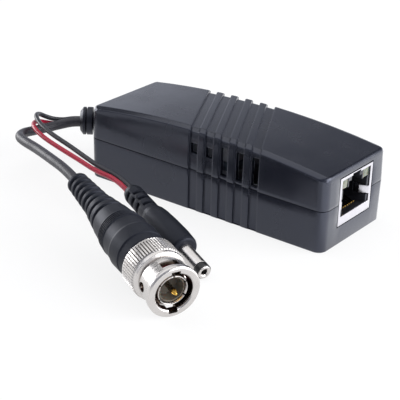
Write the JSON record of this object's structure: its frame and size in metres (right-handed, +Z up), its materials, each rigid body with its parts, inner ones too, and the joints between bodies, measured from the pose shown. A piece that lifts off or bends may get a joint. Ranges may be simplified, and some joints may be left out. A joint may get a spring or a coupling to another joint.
{
  "type": "video balun",
  "caption": "Inline video balun: ribbed, vented case with an RJ45 socket at one end; a coax lead to a BNC plug and a thin power lead to a DC plug leave the other end.",
  "frame": {"origin": "middle of the case's underside", "axes": "+X along the case towards the RJ45 socket, +Z up, -Y towards the side on which the leads lie"},
  "size_m": [0.0989, 0.0865, 0.0238],
  "materials": {
    "case_plastic": "fine spark-textured satin",
    "screw_steel": "zinc plated",
    "tinned_sheet": "bright tin plate",
    "socket_plastic": "satin",
    "gold_contact": "gold flash, polished",
    "led_lens": "frosted",
    "board_laminate": "solder mask",
    "ferrite": "fired ceramic",
    "winding_tape": "taped enamelled wire",
    "capacitor_sleeve": "shrunk sleeve",
    "chip_epoxy": "moulded epoxy",
    "soft_black": "moulded soft PVC",
    "coax_jacket": "extruded PVC, slight sheen",
    "red_jacket": "extruded PVC, slight sheen",
    "black_jacket": "extruded PVC, slight sheen",
    "nickel": "bright nickel plate",
    "dielectric": "moulded",
    "gasket_rubber": "moulded silicone",
    "spring_steel": "plain",
    "plug_plastic": "moulded"
  },
  "bodies": {
    "balun": {"upper_case": "case_plastic", "lower_case": "case_plastic", "case_screws": "screw_steel", "rj45_shield": "tinned_sheet", "rj45_insert": "socket_plastic", "rj45_contacts": "gold_contact", "rj45_led_left": "led_lens", "rj45_led_right": "led_lens", "circuit_board": "board_laminate", "transformer_core": "ferrite", "transformer_winding": "winding_tape", "power_inductor": "ferrite", "capacitors": "capacitor_sleeve", "regulator_chip": "chip_epoxy", "cable_strain_relief": "soft_black", "coax_cable": "coax_jacket", "power_wire_red": "red_jacket", "power_wire_black": "black_jacket", "bnc_boot": "soft_black", "bnc_outer_contact": "nickel", "bnc_insulator": "dielectric", "bnc_center_pin": "gold_contact", "bnc_gasket": "gasket_rubber", "bnc_spring_washer": "spring_steel", "bnc_retaining_clip": "spring_steel", "dc_plug_boot": "soft_black", "dc_plug_sleeve": "nickel", "dc_plug_insulator": "plug_plastic", "dc_plug_inner_contact": "nickel"},
    "coupling_ring": {"bnc_coupling_ring": "nickel"}
  },
  "joints": [
    {"name": "bnc_ring_turn", "type": "hinge", "parent": "balun", "child": "coupling_ring", "pos_m": [0.03058, -0.06511, 0.0068], "axis": [0.9058, -0.4128, -0.0958], "continuous": true}
  ]
}
